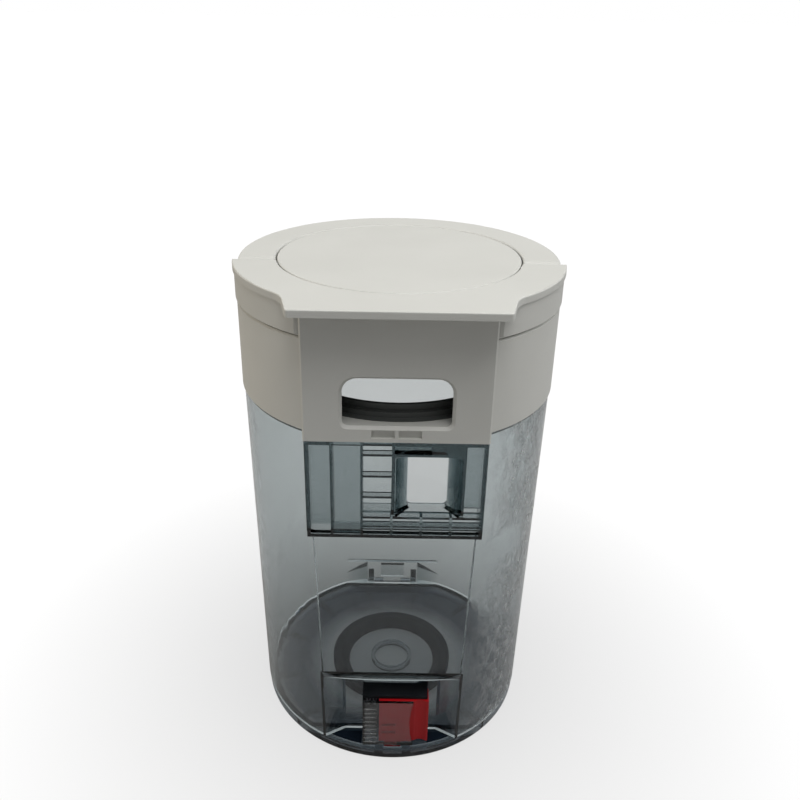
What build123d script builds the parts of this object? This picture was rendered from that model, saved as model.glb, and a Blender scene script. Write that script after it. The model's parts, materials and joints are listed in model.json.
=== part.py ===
from build123d import *
import os

os.makedirs("parts", exist_ok=True)

# Dust bin of a robot-vacuum base: clear bin, grey collar and lid, bail handle, bottom door and latch.
# Frame: millimetres, origin at the bottom centre, +Z up, the flat front faces -Y.

# Running gaps and fits
REST_GAP = 0.3          # between pieces that rest on each other or slide past each other
FIT_GAP = 0.15          # between fixed pieces that are assembled
SWING_GAP = 0.5         # round pieces that swing

# Bottom door
DOOR_INSET = 0.4        # the rim stands in from the bin's outside
DOOR_RIM_H = 5.0        # rim height
DOOR_T = 1.8            # floor and skin thickness
DOOR_RIM_T = 2.2        # rim wall thickness
DOOR_CHAMFER = 0.8
DISH_SLOPE = 14.0       # plan width of the sloping side of the dish
LEDGE_W = 2.6           # ledge beside the dish, carries the seal
SEAL_H = 1.4            # seal standing above its groove floor
FLOOR_RING_GAP = 1.7    # floor left between the rubber ring and the sloping side
FLOOR_RING_W = 8.0
FLOOR_RING_H = 4.8
FLOOR_RING_CREST = 4.0  # the inside slopes down from the crest
BOSS_R = 10.0           # small tube in the middle of the floor
BOSS_T = 1.5
BOSS_H = 2.6
DOOR_RIBS = 12          # ribs under the sloping side of the dish
DOOR_RIB_T = 1.4
PAD_GAP = 0.6           # left round each rubber pad beside the latch

# Clear bin
BIN_R = 61.0            # outer radius at the lower edge
BIN_DRAFT = 2.3         # the bin is this much wider in radius at the collar seam
BIN_H = 154.8           # lower edge to the collar seam
BIN_WALL = 2.0
FACET_CUT = 7.0         # depth of the flat front below the round
NECK_STEP = 1.9         # the neck stands in from the outside by this much
NECK_H = 1.2
POCKET_D = 5.0          # latch pocket, behind the flat front
POCKET_SPARE = 7.7      # room over the latch
POCKET_SPLAY = 9.0      # its sides slope out to the front by this much
POCKET_FALL = 6.0       # its roof slopes down to the back by this much
POCKET_W = 58.0
BROW_OUT = 1.8          # arched lip over the latch pocket
BROW_T = 1.2

# Rear hinge
REAR_CUT = 5.6          # depth of the flat wall at the hinge below the round
REAR_POCKET_H = 14.0
STOP_W = 12.8           # small raised stop between the lugs
STOP_H = 8.0
STOP_UP = 4.0           # above the bin's lower edge
STOP_OUT = 1.8
EAR_X = 14.0            # upright side of each ear beside the hinge
EAR_H = 11.0            # ear height at its upright side
EAR_END_X = 29.5        # where the sloping ear runs out
EAR_END_H = 4.5
HINGE_R = 2.7           # lugs and knuckles round the pin
LUG_T = 3.0
LUG_ROOT_Z = 9.0        # where the lugs leave the wall, above the lower edge
KNUCKLE_W = 5.0         # width of each door knuckle
KNUCKLE_PITCH = 15.0    # between the two knuckles
HINGE_PIN_R = 1.2

# Inlet block in the flat front
BLOCK_INSET = 0.55      # each side stands in from the panel's side
BLOCK_H = 41.8
BLOCK_D = 10.0
BLOCK_FRAME = 1.5       # frame wall
BLOCK_BACK = 3.4        # wall behind the channels, the flat cell and the duct
LADDER_BACK = 1.4       # thinner wall behind the ribbed cells
BLOCK_RIB = 1.0         # ribs between the cells
PLATE_D = 1.2           # depth of the flat cell
LADDER_D = 3.2          # depth of the ribbed cells
CHANNEL_W = 7.6         # upright channel on the left
PLATE_W = 10.2          # flat cell beside it
LADDER_W = 10.6         # column with the short ribs
LADDER_CELLS = 3
DUCT_W = 25.4           # mouth of the air duct
PORT_TAPER = 5.0        # each side of the duct runs in by this much to the port
PORT_STEP = 1.2         # head of the duct runs in by this much
FOOT_CELL_H = 3.15      # low cells along the foot
FOOT_ROWS = 2
FOOT_COLUMNS = 4
HEAD_CELL_H = 3.4       # low cells along the head
HEAD_CELL_W = 13.6      # width of the second of them
PORT_R = 1.8

# Collar with the flat panel
COLLAR_STEP = 0.7       # the collar stands out from the bin
COLLAR_WALL = 2.4
COLLAR_H = 35.6
COLLAR_CHAMFER = 0.6
PANEL_T = 1.9
PANEL_EAR = 3.15        # each side of the panel stands out from the collar's flat
PANEL_DROP = 3.8        # the panel hangs below the collar seam
WINDOW_W = 39.4
WINDOW_H = 18.6
SILL_T = 1.2            # shelf inside the collar, level with the window's sill
SILL_LAND = 2.35        # the shelf reaches in from the panel by this much
WINDOW_R_TOP = 5.5
WINDOW_R_SILL = 2.0
WINDOW_BEVEL = 1.1
PANEL_BEVEL = 0.6       # upright edges of the panel
NOTCH_W = 8.4           # two shallow recesses under the window
NOTCH_H = 3.3
NOTCH_RIB = 1.4         # between the two recesses
NOTCH_UP = 1.5
NOTCH_D = 1.4

# Dark seat ring and its gasket inside the collar
SEAT_INSET = 3.6        # the skirt stands in from the flat of the neck
SEAT_T = 1.4
SEAT_LIP_T = 1.4
SEAT_LIP_H = 4.4
SEAT_SKIRT_H = 2.8
GASKET_W = 2.2
GASKET_H = 2.0

# Lid
GROOVE = 1.0            # shadow line between collar and lid
LID_LIP = 0.5           # the plate stands out from the side band
LID_H = 13.2
LID_PLATE_T = 2.7
LID_WALL = 2.2
BAND_STEP = 0.5         # the side band stands out from the collar
TONGUE_OUT = 10.4       # overhang in front of the panel
TONGUE_W = 73.8         # width at the front edge
TONGUE_FLARE = 4.6      # each side widens by this much on the way back to the rim
TONGUE_L = 20.5         # length of the widening sides
FLARE_R = 12.0          # concave corner between rim and tongue
TONGUE_CORNER = 1.2
EDGE_R = 0.6
RIM_R = 0.5             # rounded upper edge of the front plate
DECK_T = 1.8
DISC_GAP = 0.6          # between disc and handle
DISC_T = 1.4
DISC_GROOVE = 0.4       # between disc and front plate
DISC_OVERLAP = 1.0      # the disc stands out from the raised middle that carries it
PLATE_END_Y = -9.4      # the front plate ends here, the handle begins
PLUG_GAP = 2.1          # the plug stands in from the collar's inside by this much
PLUG_WALL = 2.0
PLUG_H = 10.0
LID_SEAL_H = 2.5
LINER_T = 1.6
POST_R = 3.0
POSTS = 4

# Bail handle
HANDLE_INSET = 1.7      # the handle stands in from the side band
HANDLE_W = 14.4
HANDLE_T = 7.0
HANDLE_EDGE = 0.8
PIVOT_R = 1.2
PIVOT_GRIP = 6.0        # length held in the lid
PIVOT_REACH = 10.0      # length inside the handle

# Door latch
LATCH_X = -12.2         # left side of the latch
LATCH_W = 27.8
LATCH_UP = 1.5          # above the bin's lower edge
LATCH_H = 26.3
LATCH_D = 10.4          # front of the cover, out from the pocket's back
SHELF_SET = 2.6         # the shelf stops short of the cover's front
BRACKET_T = 1.3
GRIP_W = 6.0            # length of the slider left bare by the cover
COVER_WALL = 1.2
COVER_HOLLOW = 1.6      # depth of the curved notch in the cover's open edge
PUSH_OUT = 0.5          # push face of the slider, out from the bracket's end
SLIDE_SPARE = 0.9       # left between slider and cover at the end of the travel
SLIDE = 5.0             # travel of the slider, towards -X
SLOT_W = 6.0            # two marks on the slider's face
SLOT_H = 1.6
SLOT_PITCH = 4.4
SLOT_D = 1.2
GROOVE_R = 4.0          # finger groove in the bare end of the slider
GROOVE_D = 0.9
SLOT_X = -1.0
SLOT_UP = 7.5
HOOK_W = 5.4
HOOK_T = 3.0
HOOK_X = -0.1
HOOK_OUT = 5.7          # middle of the hook, out from the pocket's back
HOOK_Z = 2.4            # lower end of the hook
NIB_OUT = 2.0
NIB_H = 1.8
KEEPER_W = 3.8
KEEPER_PITCH = 12.0     # between the two posts beside the hook
SPRING_R = 1.6
SPRING_WIRE = 0.6
SPRING_TURNS = 5
SPRING_BORE = 8.0       # depth of the spring's bore in the slider
SPRING_WALL = 1.0       # left of the slider above and behind the spring's bore

# Radii, distances from the axis and heights that follow from the sizes above
BIN_R_TOP = BIN_R + BIN_DRAFT
DOOR_R = BIN_R - DOOR_INSET
COLLAR_R = BIN_R_TOP + COLLAR_STEP
BAND_R = COLLAR_R + BAND_STEP
LID_R = BAND_R + LID_LIP
HANDLE_R = BAND_R - HANDLE_INSET
HANDLE_IN = HANDLE_R - HANDLE_W
DISC_R = HANDLE_IN - DISC_GAP
PLATEAU_R = DISC_R - DISC_OVERLAP
FACET_Y = BIN_R - FACET_CUT
SEAT_R = FACET_Y - NECK_STEP - BIN_WALL - SEAT_INSET - SEAT_LIP_T
PANEL_IN = FACET_Y + FIT_GAP
PANEL_Y = PANEL_IN + PANEL_T
PANEL_W = 2 * ((COLLAR_R**2 - PANEL_Y**2) ** 0.5 + PANEL_EAR)
POCKET_Y = FACET_Y - POCKET_D
REAR_Y = BIN_R - REAR_CUT
TONGUE_Y = PANEL_Y + TONGUE_OUT
TONGUE_BACK = TONGUE_Y - TONGUE_L
LATCH_Y = POCKET_Y + LATCH_D
HOOK_Y = POCKET_Y + HOOK_OUT
BIN_Z = DOOR_RIM_H + SWING_GAP
SEAM_Z = BIN_Z + BIN_H
NECK_TOP = SEAM_Z + NECK_H
SHOULDER_Z = SEAM_Z - BIN_WALL
COLLAR_TOP = SEAM_Z + COLLAR_H
BAND_Z = COLLAR_TOP + GROOVE
LID_TOP = BAND_Z + LID_H
PLATE_Z = LID_TOP - LID_PLATE_T
HANDLE_Z = LID_TOP - HANDLE_T
DECK_TOP = HANDLE_Z - SWING_GAP
DECK_Z = DECK_TOP - DECK_T
PLATEAU_TOP = LID_TOP - DISC_T
PIVOT_Z = LID_TOP - HANDLE_T / 2
PIVOT_Y = PLATE_END_Y + SWING_GAP + HANDLE_T / 2
PANEL_Z = SEAM_Z - PANEL_DROP
PANEL_TOP = PLATE_Z - SWING_GAP
BLOCK_TOP = PANEL_Z - FIT_GAP
BLOCK_Z = BLOCK_TOP - BLOCK_H
BLOCK_Y = PANEL_Y - REST_GAP
BLOCK_W = PANEL_W - 2 * BLOCK_INSET
POCKET_H = LATCH_UP + LATCH_H + POCKET_SPARE
POCKET_TOP = BIN_Z + POCKET_H
HINGE_Y = REAR_Y + HINGE_R
HINGE_Z = HINGE_R + SWING_GAP
DOOR_REAR = HINGE_Y - HINGE_R - SWING_GAP
FLOOR_TOP = DOOR_T
DISH_R = BIN_R - BIN_WALL - LEDGE_W
DISH_FRONT = POCKET_Y - BIN_WALL - LEDGE_W + REST_GAP
DISH_REAR = REAR_Y - BIN_WALL - LEDGE_W + REST_GAP
FLOOR_RING_R = DISH_FRONT - DISH_SLOPE - FLOOR_RING_GAP
SEAL_TOP = BIN_Z - REST_GAP
SEAL_Z = SEAL_TOP - SEAL_H


def flat_round(radius, front=None, rear=None):
    """Circle with its front and its rear cut flat at the given distances from the axis."""
    with BuildSketch() as face:
        Circle(radius)
        if front is not None:
            with Locations((0, -front)):
                Rectangle(2 * radius, radius, align=(Align.CENTER, Align.MAX), mode=Mode.SUBTRACT)
        if rear is not None:
            with Locations((0, rear)):
                Rectangle(2 * radius, radius, align=(Align.CENTER, Align.MIN), mode=Mode.SUBTRACT)
    return face.sketch


def ring_band(radius, width, front=None, rear=None):
    """Flat-fronted ring that runs along the inside of the flat-fronted circle."""
    with BuildSketch() as face:
        add(flat_round(radius, front, rear))
        inner_front = None if front is None else front - width
        inner_rear = None if rear is None else rear - width
        add(flat_round(radius - width, inner_front, inner_rear), mode=Mode.SUBTRACT)
    return face.sketch


def latch_pocket(grow):
    """Latch pocket, grown by a wall, with sloping sides and a sloping roof."""
    with BuildPart() as hollow:
        with BuildSketch(Plane.XY.offset(BIN_Z)):
            with BuildLine():
                Polyline(
                    (-POCKET_W / 2 - grow, -BIN_R_TOP),
                    (-POCKET_W / 2 - grow, grow - FACET_Y),
                    (POCKET_SPLAY - POCKET_W / 2 - grow, grow - POCKET_Y),
                    (POCKET_W / 2 + grow - POCKET_SPLAY, grow - POCKET_Y),
                    (POCKET_W / 2 + grow, grow - FACET_Y),
                    (POCKET_W / 2 + grow, -BIN_R_TOP),
                    close=True,
                )
            make_face()
        extrude(amount=POCKET_H + grow)
        with BuildSketch(Plane.YZ):
            with BuildLine():
                Polyline(
                    (-BIN_R_TOP, BIN_Z),
                    (grow - POCKET_Y, BIN_Z),
                    (grow - POCKET_Y, POCKET_TOP + grow - POCKET_FALL),
                    (grow - FACET_Y, POCKET_TOP + grow),
                    (-BIN_R_TOP, POCKET_TOP + grow),
                    close=True,
                )
            make_face()
        extrude(amount=POCKET_W, both=True, mode=Mode.INTERSECT)
    return hollow.part


# Clear bin: tapered shell with a flat front, a latch pocket below it and a hinge pocket at the rear
with BuildPart() as bin_cavity:
    with BuildSketch(Plane.XY.offset(BIN_Z)):
        add(flat_round(BIN_R - BIN_WALL, FACET_Y - BIN_WALL))
    with BuildSketch(Plane.XY.offset(SHOULDER_Z)):
        add(flat_round(BIN_R_TOP - BIN_WALL, FACET_Y - BIN_WALL))
    loft()
    add(latch_pocket(BIN_WALL), mode=Mode.SUBTRACT)
    with BuildSketch(Plane.XY.offset(BIN_Z)):
        with Locations((0, REAR_Y - BIN_WALL)):
            Rectangle(2 * BIN_R_TOP, BIN_R_TOP, align=(Align.CENTER, Align.MIN))
    extrude(amount=REAR_POCKET_H + BIN_WALL, mode=Mode.SUBTRACT)
    with BuildSketch(Plane.XY.offset(SHOULDER_Z)):
        add(flat_round(BIN_R_TOP - NECK_STEP - BIN_WALL, FACET_Y - NECK_STEP - BIN_WALL))
    extrude(amount=NECK_TOP - SHOULDER_Z)

with BuildPart() as bin_body:
    with BuildSketch(Plane.XY.offset(BIN_Z)):
        add(flat_round(BIN_R, FACET_Y))
    with BuildSketch(Plane.XY.offset(SEAM_Z)):
        add(flat_round(BIN_R_TOP, FACET_Y))
    loft()
    with BuildSketch(Plane.XY.offset(SEAM_Z)):
        add(flat_round(BIN_R_TOP - NECK_STEP, FACET_Y - NECK_STEP))
    extrude(amount=NECK_H)
    add(latch_pocket(0), mode=Mode.SUBTRACT)
    # Hinge pocket, which leaves a sloping ear on each side
    with BuildSketch(Plane.XZ.offset(-REAR_Y)):
        with BuildLine():
            Polyline(
                (-BIN_R_TOP, BIN_Z + REAR_POCKET_H),
                (BIN_R_TOP, BIN_Z + REAR_POCKET_H),
                (BIN_R_TOP, BIN_Z + EAR_END_H),
                (EAR_END_X, BIN_Z + EAR_END_H),
                (EAR_X, BIN_Z + EAR_H),
                (EAR_X, BIN_Z),
                (-EAR_X, BIN_Z),
                (-EAR_X, BIN_Z + EAR_H),
                (-EAR_END_X, BIN_Z + EAR_END_H),
                (-BIN_R_TOP, BIN_Z + EAR_END_H),
                close=True,
            )
        make_face()
    extrude(amount=-BIN_R_TOP, mode=Mode.SUBTRACT)
    add(bin_cavity.part, mode=Mode.SUBTRACT)
    # Opening for the inlet block
    with BuildSketch(Plane.XZ.offset(BLOCK_Y - BLOCK_D)):
        with Locations((0, BLOCK_Z + BLOCK_H / 2)):
            Rectangle(BLOCK_W + 2 * FIT_GAP, BLOCK_H + 2 * FIT_GAP)
    extrude(amount=BLOCK_D, mode=Mode.SUBTRACT)
    # Arched lip over the latch pocket
    with BuildSketch(Plane.XY.offset(POCKET_TOP)):
        with BuildLine():
            ThreePointArc((-POCKET_W / 2, -FACET_Y), (0, -FACET_Y - BROW_OUT), (POCKET_W / 2, -FACET_Y))
            Polyline(
                (POCKET_W / 2, -FACET_Y),
                (POCKET_W / 2, BIN_WALL - FACET_Y),
                (-POCKET_W / 2, BIN_WALL - FACET_Y),
                (-POCKET_W / 2, -FACET_Y),
            )
        make_face()
    extrude(amount=BROW_T)
    # Raised stop between the lugs
    with BuildSketch(Plane.XZ.offset(-REAR_Y)):
        with Locations((0, BIN_Z + STOP_UP + STOP_H / 2)):
            Rectangle(STOP_W, STOP_H)
    extrude(amount=-STOP_OUT)
    # Hinge lugs
    with BuildSketch(Plane.YZ.offset((KNUCKLE_PITCH + KNUCKLE_W) / 2 + REST_GAP)):
        with Locations((HINGE_Y, HINGE_Z)):
            Circle(HINGE_R)
        with Locations((REAR_Y, BIN_Z + LUG_ROOT_Z / 2)):
            Rectangle(SWING_GAP, LUG_ROOT_Z)
        make_hull()
        with Locations((HINGE_Y, HINGE_Z)):
            Circle(HINGE_PIN_R + FIT_GAP, mode=Mode.SUBTRACT)
    lug = extrude(amount=LUG_T, mode=Mode.PRIVATE)
    add(lug)
    add(mirror(lug, about=Plane.YZ, mode=Mode.PRIVATE))
bin_body.part.label = "bin_body"
export_step(bin_body.part, "parts/bin_body.step")

# Inlet block: a frame of cells round a tapered air duct
CELL_D = BLOCK_D - BLOCK_BACK
CELL_X = -BLOCK_W / 2 + BLOCK_FRAME
PLATE_X = CELL_X + CHANNEL_W + BLOCK_RIB
LADDER_X = PLATE_X + PLATE_W + BLOCK_RIB
DUCT_X = LADDER_X + LADDER_W + BLOCK_RIB
SIDE_X = DUCT_X + DUCT_W + BLOCK_RIB
SIDE_W = BLOCK_W / 2 - BLOCK_FRAME - SIDE_X
FOOT_Z = BLOCK_Z + BLOCK_FRAME
DUCT_Z = FOOT_Z + FOOT_ROWS * (FOOT_CELL_H + BLOCK_RIB)
HEAD_Z = BLOCK_TOP - BLOCK_FRAME - HEAD_CELL_H
DUCT_H = HEAD_Z - BLOCK_RIB - DUCT_Z
PORT_W = DUCT_W - 2 * PORT_TAPER
PORT_H = DUCT_H - PORT_STEP
PORT_Z = DUCT_Z + PORT_H / 2
LADDER_CELL_H = (DUCT_H - (LADDER_CELLS - 1) * BLOCK_RIB) / LADDER_CELLS
FOOT_W = BLOCK_W / 2 - BLOCK_FRAME - LADDER_X
FOOT_CELL_W = (FOOT_W - (FOOT_COLUMNS - 1) * BLOCK_RIB) / FOOT_COLUMNS
TALL_CELL_H = BLOCK_H - 2 * BLOCK_FRAME
CORNER = (Align.MIN, Align.MIN)

with BuildPart() as inlet_block:
    with BuildSketch(Plane.XZ.offset(BLOCK_Y)):
        with Locations((0, BLOCK_Z + BLOCK_H / 2)):
            Rectangle(BLOCK_W, BLOCK_H)
    extrude(amount=-BLOCK_D)
    # Deep channels on the left and on the right
    with BuildSketch(Plane.XZ.offset(BLOCK_Y)):
        with Locations((CELL_X, FOOT_Z)):
            Rectangle(CHANNEL_W, TALL_CELL_H, align=CORNER)
        with Locations((SIDE_X, DUCT_Z)):
            Rectangle(SIDE_W, BLOCK_TOP - BLOCK_FRAME - DUCT_Z, align=CORNER)
    extrude(amount=-CELL_D, mode=Mode.SUBTRACT)
    # Flat cell, hollow from behind
    with BuildSketch(Plane.XZ.offset(BLOCK_Y)):
        with Locations((PLATE_X, FOOT_Z)):
            Rectangle(PLATE_W, TALL_CELL_H, align=CORNER)
    extrude(amount=-PLATE_D, mode=Mode.SUBTRACT)
    with BuildSketch(Plane.XZ.offset(BLOCK_Y - BLOCK_D)):
        with Locations((PLATE_X, FOOT_Z)):
            Rectangle(PLATE_W, TALL_CELL_H, align=CORNER)
    extrude(amount=BLOCK_D - PLATE_D - BLOCK_BACK, mode=Mode.SUBTRACT)
    # Ribbed cells, hollow from behind
    with BuildSketch(Plane.XZ.offset(BLOCK_Y)):
        for step in range(LADDER_CELLS):
            with Locations((LADDER_X, DUCT_Z + step * (LADDER_CELL_H + BLOCK_RIB))):
                Rectangle(LADDER_W, LADDER_CELL_H, align=CORNER)
        with Locations((LADDER_X, HEAD_Z)):
            Rectangle(LADDER_W, HEAD_CELL_H, align=CORNER)
        with Locations((DUCT_X, HEAD_Z)):
            Rectangle(HEAD_CELL_W, HEAD_CELL_H, align=CORNER)
        for row in range(FOOT_ROWS):
            for column in range(FOOT_COLUMNS):
                cell_x = LADDER_X + column * (FOOT_CELL_W + BLOCK_RIB)
                with Locations((cell_x, FOOT_Z + row * (FOOT_CELL_H + BLOCK_RIB))):
                    Rectangle(FOOT_CELL_W, FOOT_CELL_H, align=CORNER)
    extrude(amount=-LADDER_D, mode=Mode.SUBTRACT)
    with BuildSketch(Plane.XZ.offset(BLOCK_Y - BLOCK_D)):
        with Locations((LADDER_X, DUCT_Z)):
            Rectangle(LADDER_W, BLOCK_TOP - BLOCK_FRAME - DUCT_Z, align=CORNER)
        with Locations((LADDER_X, FOOT_Z)):
            Rectangle(FOOT_W, DUCT_Z - BLOCK_RIB - FOOT_Z, align=CORNER)
    extrude(amount=BLOCK_D - LADDER_D - LADDER_BACK, mode=Mode.SUBTRACT)
    # Air duct that narrows to the port in the back wall
    with BuildSketch(Plane.XZ.offset(BLOCK_Y)):
        with Locations((DUCT_X + DUCT_W / 2, DUCT_Z + DUCT_H / 2)):
            RectangleRounded(DUCT_W, DUCT_H, PORT_R)
    with BuildSketch(Plane.XZ.offset(BLOCK_Y - CELL_D)):
        with Locations((DUCT_X + DUCT_W / 2, PORT_Z)):
            RectangleRounded(PORT_W, PORT_H, PORT_R)
    loft(mode=Mode.SUBTRACT)
    with BuildSketch(Plane.XZ.offset(BLOCK_Y - CELL_D)):
        with Locations((DUCT_X + DUCT_W / 2, PORT_Z)):
            RectangleRounded(PORT_W, PORT_H, PORT_R)
    extrude(amount=-BLOCK_BACK, mode=Mode.SUBTRACT)
inlet_block.part.label = "inlet_block"
export_step(inlet_block.part, "parts/inlet_block.step")

# Collar: flat-fronted sleeve on the bin, with the tall front panel and its window
WINDOW_Z = NECK_TOP + SILL_T
SILL_R = PANEL_IN - SILL_LAND

with BuildPart() as collar:
    with BuildSketch(Plane.XY.offset(SEAM_Z)):
        Circle(COLLAR_R)
        with Locations((0, -PANEL_Y)):
            Rectangle(2 * COLLAR_R, COLLAR_R, align=(Align.CENTER, Align.MAX), mode=Mode.SUBTRACT)
            Rectangle(PANEL_W, COLLAR_WALL, align=(Align.CENTER, Align.MIN))
        add(flat_round(COLLAR_R - COLLAR_WALL, PANEL_IN), mode=Mode.SUBTRACT)
    extrude(amount=COLLAR_H)
    chamfer(collar.edges().group_by(Axis.Z)[-1].filter_by(GeomType.CIRCLE).sort_by(SortBy.RADIUS)[-1],
            COLLAR_CHAMFER)
    with BuildSketch(Plane.XY.offset(PANEL_Z)):
        with Locations((0, -PANEL_Y)):
            Rectangle(PANEL_W, PANEL_T, align=(Align.CENTER, Align.MIN))
    extrude(amount=PANEL_TOP - PANEL_Z)
    # Window with rounded upper corners and a bevelled front edge
    with BuildSketch(Plane.XZ.offset(PANEL_Y)) as window:
        with Locations((0, WINDOW_Z + WINDOW_H / 2)):
            Rectangle(WINDOW_W, WINDOW_H)
        fillet(window.vertices().group_by(Axis.Y)[-1], WINDOW_R_TOP)
        fillet(window.vertices().group_by(Axis.Y)[0], WINDOW_R_SILL)
    extrude(amount=-COLLAR_R / 4, mode=Mode.SUBTRACT)
    rim = (
        collar.edges()
        .filter_by_position(Axis.Y, -PANEL_Y, -PANEL_Y)
        .filter_by_position(Axis.X, -WINDOW_W / 2, WINDOW_W / 2)
        .filter_by_position(Axis.Z, WINDOW_Z, WINDOW_Z + WINDOW_H)
    )
    chamfer(rim, WINDOW_BEVEL)
    uprights = collar.edges().filter_by(Axis.Z).filter_by_position(Axis.Y, -PANEL_Y, -PANEL_Y).group_by(Axis.X)
    chamfer(uprights[0] + uprights[-1], PANEL_BEVEL)
    # Two shallow recesses under the window
    with BuildSketch(Plane.XZ.offset(PANEL_Y)):
        with Locations((0, PANEL_Z + NOTCH_UP + NOTCH_H / 2)):
            with GridLocations(NOTCH_W + NOTCH_RIB, 0, 2, 1):
                Rectangle(NOTCH_W, NOTCH_H)
    extrude(amount=-NOTCH_D, mode=Mode.SUBTRACT)
    # Shelf on the neck, level with the sill, that holds the seat ring
    with BuildSketch(Plane.XY.offset(NECK_TOP)):
        add(flat_round(COLLAR_R - COLLAR_WALL, PANEL_IN))
        Circle(SILL_R, mode=Mode.SUBTRACT)
    extrude(amount=SILL_T)
collar.part.label = "collar"
export_step(collar.part, "parts/collar.step")

# Dark seat ring in the shelf of the collar, with a gasket round its lip
SEAT_TOP = NECK_TOP + SEAT_T

with BuildPart() as seat_ring:
    with BuildSketch(Plane.XY.offset(NECK_TOP)):
        Circle(SILL_R - FIT_GAP)
        Circle(SEAT_R, mode=Mode.SUBTRACT)
    extrude(amount=SEAT_T)
    with BuildSketch(Plane.XY.offset(NECK_TOP - SEAT_SKIRT_H)):
        Circle(SEAT_R + SEAT_LIP_T)
        Circle(SEAT_R, mode=Mode.SUBTRACT)
    extrude(amount=SEAT_SKIRT_H + SEAT_T + SEAT_LIP_H)
seat_ring.part.label = "seat_ring"
export_step(seat_ring.part, "parts/seat_ring.step")

with BuildPart() as seat_gasket:
    with BuildSketch(Plane.XY.offset(SEAT_TOP)):
        Circle(SEAT_R + SEAT_LIP_T + FIT_GAP + GASKET_W)
        Circle(SEAT_R + SEAT_LIP_T + FIT_GAP, mode=Mode.SUBTRACT)
    extrude(amount=GASKET_H)
seat_gasket.part.label = "seat_gasket"
export_step(seat_gasket.part, "parts/seat_gasket.step")

# Lid shell: front plate with the tongue, side band, deck under the handle, plug into the collar
BAND_FRONT = PANEL_IN - SWING_GAP
PLUG_R = COLLAR_R - COLLAR_WALL - PLUG_GAP
PLUG_FRONT = PANEL_IN - PLUG_GAP
PLUG_Z = DECK_Z - PLUG_H
LINER_Z = PLUG_Z + LINER_T
PLATE_IN = DISC_R + DISC_GROOVE
REAR_HALF = (Align.CENTER, Align.MIN)
FRONT_HALF = (Align.CENTER, Align.MAX)
BOSS_X = PLATEAU_R - PIVOT_GRIP

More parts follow.
